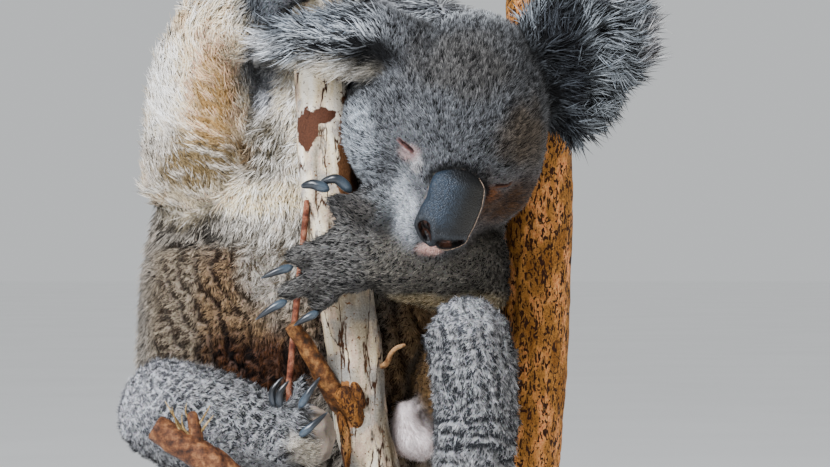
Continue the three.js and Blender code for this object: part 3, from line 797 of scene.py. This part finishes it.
def grow(group, rings, count, weightShare):
    verts, mix, uv = rootsOn(skin.data, weightShare, count)
    root = np.einsum("ij,ijk->ik", mix, here[verts])
    normal = unit(np.einsum("ij,ijk->ik", mix, normals[verts]))
    weights = np.einsum("ij,ijk->ik", mix, belongs[verts])
    crease = np.einsum("ij,ij->i", mix, hollow[verts])
    keep = bareness(root)[0] < 0.3
    root, normal, weights, uv, crease = root[keep], normal[keep], weights[keep], uv[keep], crease[keep]
    count = len(root)
    lie = sum(weights[:, [i]] * lieOf(name, root) for i, name in enumerate(flesh))
    middles, own, inside = locksAt(root, weights)
    lock = coatOf("lock", weights) / 1000
    toMiddle = across(middles - root, normal)
    # the fur swirls gently over the body, and more where it is woolly
    swirl = weights @ np.array([curl.get(name, 24) for name in flesh], float)
    swirl = swirl * (cloud(root, 0.016, 6) + 0.6 * (own - 0.5) * 2)
    swing = np.radians(swirl + coatForm["swing"] * dice.standard_normal(count))
    lie = unit(across(lie, normal))
    lie = unit(lie * np.cos(swing)[:, None] + np.cross(normal, lie) * np.sin(swing)[:, None])
    edge = 1 - fade(inside, 0.0, 0.4)  # 1 on the crease between clumps
    length, lift, width = (
        coatOf(key, weights) * (coatForm[key][0] + coatForm[key][1] * dice.random(count))
        for key in ("length", "lift", "width")
    )
    length *= shortened(root) * (1.12 - coatForm["edge"] * edge) * (1 - coatForm["crease"] * crease)
    length, lift, width = length / 1000, np.radians(lift), width / 1000
    under, over = markedCoat(root, weights)
    # hairs of one tone stand in specks of a few together, as ticked fur does
    place = root / toneForm["speckSize"]
    speck = toneForm["speck"] * (scatter(np.floor(place)) + scatter(np.floor(place + 0.5)) - 1)
    speck += toneForm["own"] * dice.standard_normal(count)
    tone = toneForm["middle"] + toneForm["clump"] * (own - 0.5) + coatOf("grain", weights) * speck
    # painted shade along the creases between clumps
    tone -= toneForm["edge"] * edge * np.minimum(coatOf("crease", weights), 1)
    # the folds' painted shadows lie where the tufts end, and a painted highlight on each fold's crest
    ridge = foldOf(root + lie * (0.6 * length * np.cos(lift))[:, None], weights)[1]
    tone -= toneForm["foldShade"] * (1 - fade(ridge, 0.05, 0.85))
    tone += toneForm["crestHighlight"] * (ridge < 0.999) * fade(ridge, 0.7, 1)
    # painted shade: tufts rooted in a crease are darker
    tone = np.clip(tone, 0.0, 1.1) * (1 - 0.75 * crease)
    rim = darkRim(root)[:, None]
    under = under * (1 - 0.85 * rim)
    tone = tone[:, None] * (1 - 0.95 * rim)
    tufts = dict(
        root=root, normal=normal, lie=lie, length=length, lift=lift, width=width, uv=uv,
        bend=0.4 * toMiddle * np.minimum(1, length / lock)[:, None],
        rootColour=blend(under, over, 0.25 * tone) * 0.7,
        tipColour=blend(under, over, tone),
    )
    step = coatForm["triangles"] // (6 * rings - 2)
    for number, start in enumerate(range(0, count, step), 1):
        part = {key: value[start:start + step] for key, value in tufts.items()}
        name = f"coat_{group}_{number}"
        piece = bpy.data.objects.new(name, tuftMesh(name, part, rings))
        bpy.context.scene.collection.objects.link(piece)
        dress(piece, wool, "grey_fur")
    print(f"coat {group}: {count} tufts in {number} pieces")


share = coatOf("share", belongs) * (1 + 0.6 * fade(-normals[:, 1], -0.1, 0.6))
grow("short", 1, coatForm["shortTufts"], share * (1 - longShare))
grow("long", 2, coatForm["longTufts"], share * longShare)


def noseMaterial():
    # bare nose leather: dark slate, pebbled 1 mm across and a little moist
    material, tree, coords = newMaterial("nose leather")
    painted = addNode(tree, "Attribute", attribute_name="noseColour")
    pebble = addNode(tree, "TexVoronoi", {"Vector": coords, "Scale": 1 / 0.0010})
    colour = grained(tree, coords, painted, 0.0014, ("#4c4c4c", "#b4b4b4"), 0.8, detail=3)[0]
    bump = addNode(tree, "Bump", {"Strength": 0.8, "Distance": 0.0006, "Height": pebble}, invert=True)
    return finished(material, {"Base Color": colour, "Normal": bump, "Roughness": 0.46,
                               "Specular IOR Level": 0.27})


# in the head's own frame: each nostril runs from one place to another, and is so wide and so deep
nostrils = [
    dict(start=(10.2, 89, -24.5), end=(4.6, 91, -31), radius=4.4, depth=7),
    dict(start=(-5.5, 92, -30.5), end=(-15.5, 88, -26.8), radius=4.4, depth=6),
]
# the leather's tints: slate, a bluer patch on the animal's right that is a painted highlight, an olive cast
# on its left and a near black band along its top that are painted shade, a darker bottom, near black painted
# shade inside the nostrils with a reddish lining, and paler wings round them
noseLook = dict(slate="#15181a", paintedHighlight="#25323f", paintedShadeOlive="#1b1a15", dark="#0b0c0e", inner="#0a0403",
                lining="#6b4636", low="#0c0d0f", wing="#32383e")
# how far the bridge draws in above the nostrils, the cleft below them sinks and their wings swell
noseRelief = dict(waist=1.9, cleft=1.6, wing=0.7)


def besidePath(points, start, end):
    # distance from a straight path, and the share along it
    start, line = np.array(start, float), np.subtract(end, start, dtype=float)
    share = np.clip((points - start) @ line / (line @ line), 0, 1)
    return np.linalg.norm(points - start - share[:, None] * line, axis=1), share


nose = newPiece("nose_pad", mergedShape(["nose"]))
fused(nose, 0.0008, 50)
toHead = np.array(headPlace.inverted())
around = places(nose.data) @ toHead[:3, :3].T + toHead[:3, 3]
faces = facing(nose.data) @ (toHead[:3, :3].T * 0.001)
waist = np.exp(-((around[:, 2] + 12) / 7) ** 2) * fade(around[:, 0], 2, 12)
around[:, 0] -= noseRelief["waist"] * waist
cleft = np.exp(-((around[:, 0] + 3.5) / 1.6) ** 2) * fade(around[:, 2], -26, -34)
around -= faces * (noseRelief["cleft"] * cleft)[:, None]
inner, wing = np.zeros(len(around)), np.zeros(len(around))
sunk = around.copy()
for hole in nostrils:
    distance, share = besidePath(around, hole["start"], hole["end"])
    radius = hole["radius"] * (1 - 0.3 * share)
    pit = 1 - fade(distance, 0.55 * radius, 1.15 * radius)
    rim = np.exp(-((distance - 1.7 * radius) / (0.5 * radius)) ** 2)
    sunk += (noseRelief["wing"] * rim)[:, None] * faces
    sunk[:, 1] -= hole["depth"] * pit
    inner = np.maximum(inner, pit)
    wing = np.maximum(wing, rim)
noseColours = {key: asRgb(code) for key, code in noseLook.items()}
# painted highlight: the animal's right half turns bluer; painted shade: olive on its left and near black
# along the top, where the leather curves away; it also darkens towards the bottom
paintedHighlight = (fade(around[:, 0], -10, 6) * (1 - fade(around[:, 2], 4, 12)) * fade(around[:, 2], -30, -16))[:, None]
tint = blend(noseColours["slate"], noseColours["paintedHighlight"], paintedHighlight)
for key, share in (("paintedShadeOlive", 1 - fade(around[:, 0], -16, -6)), ("low", 1 - fade(around[:, 2], -26, -14)),
                   ("dark", fade(around[:, 2], 4, 10))):
    tint = blend(tint, noseColours[key], share[:, None])
tint = blend(tint, noseColours["wing"], 0.5 * wing[:, None])
# inside the nostrils: near black painted shade, mottled with the skin's reddish lining
lining = fade(cloud(around, 2.6, 2), -0.3, 0.4)[:, None] * 0.75
deep = blend(noseColours["inner"], noseColours["lining"], lining)
paint(nose.data, "noseColour", blend(tint, deep, fade(inner, 0.1, 0.5)[:, None]))
fromHead = np.array(headPlace)
movedTo(nose.data, sunk @ fromHead[:3, :3].T + fromHead[:3, 3])
dress(nose, noseMaterial(), "nose_leather", "nose")
print("nose done:", len(nose.data.vertices), "vertices")


def sticks(name, paths, sides=6):
    # tapered round sticks, each a list of (place in millimetres, radius), as one piece
    made = bmesh.new()
    for path in paths:
        points = [Vector(place) / 1000 for place, _ in path]
        last = len(path) - 1
        rings = []
        for i, (point, (_, radius)) in enumerate(zip(points, path)):
            way = (points[min(i + 1, last)] - points[max(i - 1, 0)]).normalized()
            side = way.cross(Vector((0.3, 1, 0.2))).normalized()
            turn = Matrix((-side.cross(way), side, way)).transposed().to_4x4()
            ring = bmesh.ops.create_circle(
                made, cap_ends=i in (0, last), segments=sides, radius=radius / 1000,
                matrix=Matrix.Translation(point) @ turn,
            )["verts"]
            rings.append({edge for vert in ring for edge in vert.link_edges})
        for low, high in zip(rings, rings[1:]):
            bmesh.ops.bridge_loops(made, edges=list(low | high))
    bmesh.ops.recalc_face_normals(made, faces=made.faces)
    return rounded(newPiece(name, made))


def rimMaterial():
    # the pale lip of skin where the leather ends, with fine hairs 0.9 mm apart
    material, tree, coords = newMaterial("nose edge")
    hairs = addNode(tree, "TexNoise", {"Vector": coords, "Scale": 1 / 0.0009, "Detail": 2})
    colour = addNode(tree, "ValToRGB", {"Fac": hairs}, stops=[(0.35, "#4c3c32"), (0.65, "#a08a76")])
    return finished(material, {"Base Color": colour, "Roughness": 0.7})


rimPath = [(-13.5, 60, 10), (-17, 66, 4), (-20, 73, -4), (-21.5, 79, -12), (-21.5, 83, -19),
           (-19.5, 86, -26), (-15, 88.5, -31), (-9, 90, -34.5), (-3, 90, -36)]
leather = BVHTree.FromObject(nose, bpy.context.evaluated_depsgraph_get())
edge = []
steps = 4  # short steps between each pair of places, so that it hugs the leather
total = steps * (len(rimPath) - 1) + 1
for number in range(total):
    low, part = divmod(number, steps)
    start, stop = (np.array(rimPath[min(k, len(rimPath) - 1)], float) for k in (low, low + 1))
    spot, normal = leather.find_nearest(Vector(onHead(*(start + (stop - start) * part / steps))))[:2]
    edge.append(((spot + normal * 0.00025) * 1000, 0.3 if 2 < number < total - 3 else 0.2))
dress(sticks("nose_rim", [edge]), rimMaterial(), "nose_leather")


def clawMaterial():
    # horn: dark slate, streaked paler every 1.2 mm, smooth and slightly glossy
    material, tree, coords = newMaterial("claw horn")
    painted = addNode(tree, "Attribute", attribute_name="hornColour")
    colour = grained(tree, coords, painted, 0.0012, ("#5c5c5c", "#a8a8a8"), 0.6, detail=3)[0]
    return finished(material, {"Base Color": colour, "Roughness": 0.34})


horn = clawMaterial()
clawLook = dict(root="#42505c", shaft="#161d24", tip="#5c666e", rearRoot="#2c333a", rearShaft="#0d0f12")
clawColours = {key: asRgb(code) for key, code in clawLook.items()}
for name in [name for name in nodes if name.startswith("claw_")]:
    claw = rounded(newPiece(name.replace("claw", "nail"), mergedShape([name])))
    stout = 1.1 if name in ("claw_hand_left_1", "claw_hand_left_2") else 0.2  # millimetres thicker all round
    movedTo(claw.data, places(claw.data) + facing(claw.data) * stout / 1000)
    points = places(claw.data)
    centre = points.mean(axis=0)
    long = np.linalg.svd(points - centre, full_matrices=False)[2][0]
    reach = (points - centre) @ long
    girth = np.linalg.norm(points - centre - reach[:, None] * long, axis=1)
    spread = [girth[side].mean() for side in (reach < 0, reach > 0)]
    share = (reach - reach.min()) / np.ptp(reach)
    share = (share if spread[0] > spread[1] else 1 - share)[:, None]  # 0 at the root, which is the thick end
    rear = name in ("claw_foot_right_2", "claw_foot_right_3")  # the two joined toes have the darkest claws
    root, shaft = clawColours["rearRoot" if rear else "root"], clawColours["rearShaft" if rear else "shaft"]
    tint = blend(root, shaft, fade(share, 0.15, 0.6))
    worn = fade(share, 0.9, 1.0) * (0.2 if rear else 0.6)
    paint(claw.data, "hornColour", blend(tint, clawColours["tip"], worn))
    dress(claw, horn, "claw_horn", name)
print("claws done")


def spotOn(tree, coords, ragged, at, size):
    # 1 inside a ragged ellipsoid on the bark, 0 outside
    scale = [1 / each for each in size]
    shift = [-place * each for place, each in zip(at, scale)]
    moved = addNode(tree, "Mapping", {"Vector": coords, "Location": shift, "Scale": scale})
    reach = addNode(tree, "VectorMath", {0: moved}, give="Value", operation="LENGTH")
    rough = addNode(tree, "Math", {0: ragged, 1: 1.3, 2: reach}, operation="MULTIPLY_ADD")
    return addNode(tree, "MapRange", {"Value": rough, "From Min": 1.72, "From Max": 1.6})


paleSpots = [  # each one's place and size in metres, and its colour
    ((-0.050, -0.058, 0.507), (0.0075, 0.03, 0.0125), "#54311f"),  # peeled patch
    ((-0.041, -0.058, 0.516), (0.0085, 0.03, 0.0055), "#54311f"),
    ((-0.0235, -0.048, 0.482), (0.0075, 0.03, 0.048), "#7a5030"),  # inner bark
    ((-0.024, -0.058, 0.328), (0.0075, 0.03, 0.016), "#a06a3a"),  # round the side shoot
    ((-0.026, -0.060, 0.296), (0.003, 0.03, 0.030), "#5d3415"),
]


def paleBark():
    # smooth gum bark: cream and ash grey in clouds 14 mm and 22 mm across, with thin broken brown cracks up
    # the stem, small flecks, a peeled patch and a strip of inner bark
    material, tree, coords = newMaterial("pale gum bark")
    stretch = addNode(tree, "Mapping", {"Vector": coords, "Scale": (1, 1, 0.2)})
    cloudy = addNode(tree, "TexNoise", {"Vector": stretch, "Scale": 1 / 0.014, "Detail": 6})
    colour = addNode(tree, "ValToRGB", {"Fac": cloudy},
                     stops=[(0.30, "#77664c"), (0.42, "#c2b296"), (0.54, "#e2d8c6"), (0.72, "#f8f5ee")])
    ash = addNode(tree, "TexNoise", {"Vector": coords, "Scale": 1 / 0.022, "Detail": 5})
    ashy = addNode(tree, "MapRange", {"Value": ash, "From Min": 0.5, "From Max": 0.66, "To Max": 0.7})
    # a crack follows a level line of stretched noise, and comes and goes
    wander = addNode(tree, "TexNoise", {"Vector": stretch, "Scale": 1 / 0.011, "Detail": 5})
    off = addNode(tree, "Math", {0: wander, 1: 0.5}, operation="SUBTRACT")
    line = addNode(tree, "Math", {0: off}, operation="ABSOLUTE")
    narrow = addNode(tree, "MapRange", {"Value": line, "From Min": 0.022, "From Max": 0.008})
    gaps = addNode(tree, "TexNoise", {"Vector": coords, "Scale": 1 / 0.016, "Detail": 3})
    whole = addNode(tree, "MapRange", {"Value": gaps, "From Min": 0.40, "From Max": 0.50})
    crack = addNode(tree, "Math", {0: narrow, 1: whole}, operation="MULTIPLY")
    fleck = addNode(tree, "TexNoise", {"Vector": coords, "Scale": 1 / 0.0022, "Detail": 3})
    flecks = addNode(tree, "MapRange", {"Value": fleck, "From Min": 0.62, "From Max": 0.68})
    ragged = addNode(tree, "TexNoise", {"Vector": coords, "Scale": 1 / 0.006, "Detail": 5})
    layers = [(ashy, "#888987"), (crack, "#452a16"), (flecks, "#6e4a2a")]
    layers += [(spotOn(tree, coords, ragged, at, size), code) for at, size, code in paleSpots]
    for share, code in layers:
        colour = addNode(tree, "MixRGB", {"Fac": share, "Color1": colour, "Color2": code})
    colour, fine = grained(tree, coords, colour, 0.0012, ("#606060", "#a0a0a0"), 0.7)
    height = addNode(tree, "Math", {0: crack, 1: -1.0, 2: fine}, operation="MULTIPLY_ADD")
    bump = addNode(tree, "Bump", {"Strength": 0.7, "Distance": 0.0008, "Height": height})
    return finished(material, {"Base Color": colour, "Normal": bump, "Roughness": 0.85,
                               "Specular IOR Level": 0.2})


def brownBark(name, colours, dash):
    # peeling inner bark: orange-brown in clouds 9 mm across, and closely dashed with dark where scales have
    # come away
    material, tree, coords = newMaterial(name)
    stretch = addNode(tree, "Mapping", {"Vector": coords, "Scale": (1, 1, 0.4)})
    cloudy = addNode(tree, "TexNoise", {"Vector": stretch, "Scale": 1 / 0.009, "Detail": 6})
    colour = addNode(tree, "ValToRGB", {"Fac": cloudy}, stops=list(zip((0.34, 0.5, 0.66), colours)))
    fleck = addNode(tree, "TexNoise", {"Vector": stretch, "Scale": 1 / dash, "Detail": 2, "Distortion": 1.2})
    dark = addNode(tree, "MapRange", {"Value": fleck, "From Min": 0.47, "From Max": 0.43})
    shade = addNode(tree, "MixRGB", {"Fac": dark, "Color1": colour, "Color2": "#40210b"})
    colour, fine = grained(tree, coords, shade, 0.0012, ("#585858", "#acacac"), 0.8)
    height = addNode(tree, "Math", {0: dark, 1: -1.0, 2: fine}, operation="MULTIPLY_ADD")
    bump = addNode(tree, "Bump", {"Strength": 0.9, "Distance": 0.001, "Height": height})
    return finished(material, {"Base Color": colour, "Normal": bump, "Roughness": 0.8,
                               "Specular IOR Level": 0.2})


def redBark(name, colours):
    # young wood: thin red-brown bark, a little scuffed in clouds 5 mm across
    material, tree, coords = newMaterial(name)
    cloudy = addNode(tree, "TexNoise", {"Vector": coords, "Scale": 1 / 0.005, "Detail": 6})
    colour = addNode(tree, "ValToRGB", {"Fac": cloudy}, stops=list(zip((0.34, 0.52, 0.7), colours)))
    colour = grained(tree, coords, colour, 0.0012, ("#585858", "#acacac"), 0.8)[0]
    bump = addNode(tree, "Bump", {"Strength": 0.7, "Distance": 0.0008, "Height": cloudy})
    return finished(material, {"Base Color": colour, "Normal": bump, "Roughness": 0.7,
                               "Specular IOR Level": 0.25})


stemBark = brownBark("brown gum bark", ("#9c6322", "#c0843c", "#e4b46e"), 0.0022)
shootBark = redBark("orange inner wood", ("#36200c", "#6e421c", "#b07c46"))
collarBark = brownBark("scaly collar bark", ("#54300f", "#9a6228", "#c8965a"), 0.0018)
branchBark = redBark("red branch bark", ("#371d10", "#714528", "#a37048"))
twigBark = redBark("red twig bark", ("#5c2a18", "#94563c", "#c08a6c"))
pale = paleBark()
perchPieces = {
    "perch_fork": (pale, "pale_bark", 0.0035, 0.8),
    "perch_stem_pale": (pale, "pale_bark", 0.0022, 0.8),
    "perch_stem_brown": (stemBark, "brown_bark", 0.0022, 1.1),
    "perch_side_shoot": (shootBark, "brown_bark", 0.0013, 0.7),
    "perch_cut_branch": (branchBark, "red_bark", 0.0016, 0.9),
    "perch_twig": (twigBark, "red_bark", 0.0009, 0.25),
}
for name, (bark, slot, voxel, rough) in perchPieces.items():
    piece = newPiece(name.replace("perch", "wood"), mergedShape([name]))
    fused(piece, voxel, 5)
    points = places(piece.data)
    bumps = cloud(points * (1, 1, 0.45), 0.009, 1) + 0.5 * cloud(points * (1, 1, 0.5), 0.0035, 2) - 0.5
    movedTo(piece.data, points + facing(piece.data) * bumps[:, None] * rough / 1000)
    dress(piece, bark, slot, name)

# the shoot's torn collar, a dry curled twig, and the cut branch's stub with its frayed bast
dryBark = redBark("dry twig bark", ("#6b4424", "#a87c4e", "#cfa878"))
bastFibre = redBark("torn bast", ("#6b5430", "#a88b58", "#cdb68a"))
smallWood = {
    "wood_collar": (collarBark, "brown_bark", 6, [
        [((-30, -64, 341), 7.5), ((-24, -64, 333), 9), ((-18, -60, 322), 7.5), ((-16, -58, 312), 4)],
        [((-21, -66, 345), 3), ((-17, -66, 337), 5), ((-14, -62, 326), 4)],
        [((-30, -60, 326), 3), ((-26, -62, 314), 4.5), ((-24, -60, 300), 3.5), ((-24, -60, 286), 1.5)],
    ]),
    "wood_curl": (dryBark, "brown_bark", 6, [
        [((-4, -48, 353), 2.6), ((2, -57, 355.5), 2.4), ((3, -60, 361.5), 1.9), ((7, -62, 366.5), 1.8),
         ((14, -62, 368.5), 1.7)],
    ]),
    "wood_stub": (branchBark, "red_bark", 6, [
        [((-118, -106, 304), 6.5), ((-119, -110, 316), 5), ((-121, -112, 325), 4.4),
         ((-121.5, -112, 328), 3.2)],
    ]),
    "wood_bast": (bastFibre, "brown_bark", 5, [
        [((-124, -108, 311), 1.4), ((-131, -112, 322), 1.1), ((-139, -113, 336), 0.4)],
        [((-126, -108, 311), 1.2), ((-131, -113, 319), 1.0), ((-134, -114, 332), 0.3)],
        [((-122, -110, 312), 1.3), ((-128, -114, 318), 0.9), ((-127, -116, 328), 0.3)],
        [((-116, -110, 314), 1.3), ((-112, -114, 320), 1.0), ((-107, -114, 326), 0.3)],
        [((-118, -111, 318), 1.1), ((-113, -114, 325), 0.8), ((-109, -115, 333), 0.3)],
        [((-122, -111, 322), 1.1), ((-126, -114, 327), 0.8), ((-124, -115, 334), 0.3)],
    ]),
}
for name, (bark, slot, sides, paths) in smallWood.items():
    dress(sticks(name, paths, sides), bark, slot)
print("perch done")


def standBoardMaterial():
    # stained oak: dark, waxed and open grained, its lines 4 mm apart
    material, tree, coords = newMaterial("stained oak")
    stretch = addNode(tree, "Mapping", {"Vector": coords, "Scale": (0.05, 1, 1)})
    grain = addNode(tree, "TexNoise", {"Vector": stretch, "Scale": 1 / 0.004, "Detail": 6})
    colour = addNode(tree, "ValToRGB", {"Fac": grain},
                     stops=[(0.3, "#1d1a18"), (0.6, "#3a332d"), (0.8, "#4c433a")])
    bump = addNode(tree, "Bump", {"Strength": 0.2, "Distance": 0.0003, "Height": grain})
    return finished(material, {"Base Color": colour, "Normal": bump, "Roughness": 0.45})


def standSteelMaterial():
    # brushed stainless steel: fine lines along the rod, which spread its shine
    material, tree, coords = newMaterial("brushed steel")
    stretch = addNode(tree, "Mapping", {"Vector": coords, "Scale": (1, 1, 0.04)})
    brush = addNode(tree, "TexNoise", {"Vector": stretch, "Scale": 1 / 0.0006, "Detail": 2})
    rough = addNode(tree, "MapRange", {"Value": brush, "To Min": 0.28, "To Max": 0.45})
    return finished(material, {"Base Color": "#b9bbbd", "Metallic": 1, "Roughness": rough})


board = standBoardMaterial()
steel = standSteelMaterial()
for name in ("stand_base", "stand_rod_left", "stand_rod_right"):
    nodes[name].data.materials.clear()
    nodes[name].data.materials.append(board if name == "stand_base" else steel)
print("stand done")


studio = dict(floorSide=60, sky="#dfe2e4", skyStrength=0.85)


def floorMaterial():
    # matt studio paper, all but white
    material, tree, coords = newMaterial("studio floor")
    soft = addNode(tree, "TexNoise", {"Vector": coords, "Scale": 2, "Detail": 2})
    colour = addNode(tree, "ValToRGB", {"Fac": soft}, stops=[(0.3, "#f6f6f6"), (0.7, "#fbfbfb")])
    return finished(material, {"Base Color": colour, "Roughness": 0.9})


shape = bmesh.new()
bmesh.ops.create_grid(shape, x_segments=1, y_segments=1, size=studio["floorSide"] / 2)
floor = newPiece("floor", shape)
floor.data.materials.append(floorMaterial())

world = bpy.data.worlds.new("studio")
bpy.context.scene.world = world
world.use_nodes = True
world.node_tree.nodes["Background"].inputs["Color"].default_value = linear(studio["sky"])
world.node_tree.nodes["Background"].inputs["Strength"].default_value = studio["skyStrength"]

lamps = [
    dict(name="key", at=(-1.3, -1.7, 2.0), size=0.8, power=185, colour="#f4f7ff"),
    dict(name="fill", at=(1.8, -1.4, 0.9), size=1.6, power=8, colour="#ffe8cf"),
    dict(name="back", at=(0.6, 1.8, 1.8), size=1.2, power=40, colour="#ffffff"),
]
for lamp in lamps:
    data = bpy.data.lights.new(lamp["name"], "AREA")
    data.size = lamp["size"]
    data.energy = lamp["power"]
    data.color = linear(lamp["colour"])[:3]
    light = bpy.data.objects.new(lamp["name"], data)
    light.location = lamp["at"]
    light.rotation_euler = (Vector((0, 0, 0.42)) - light.location).to_track_quat("-Z", "Y").to_euler()
    bpy.context.scene.collection.objects.link(light)

view = dict(at=(0.0195, -2.344, 0.440), lens=153.5, sensor=36)
cameraData = bpy.data.cameras.new("camera")
cameraData.lens = view["lens"]
cameraData.sensor_width = view["sensor"]
camera = bpy.data.objects.new("camera", cameraData)
camera.location = view["at"]
camera.rotation_euler = (math.pi / 2, 0, 0)
bpy.context.scene.collection.objects.link(camera)
bpy.context.scene.camera = camera
print("studio done")
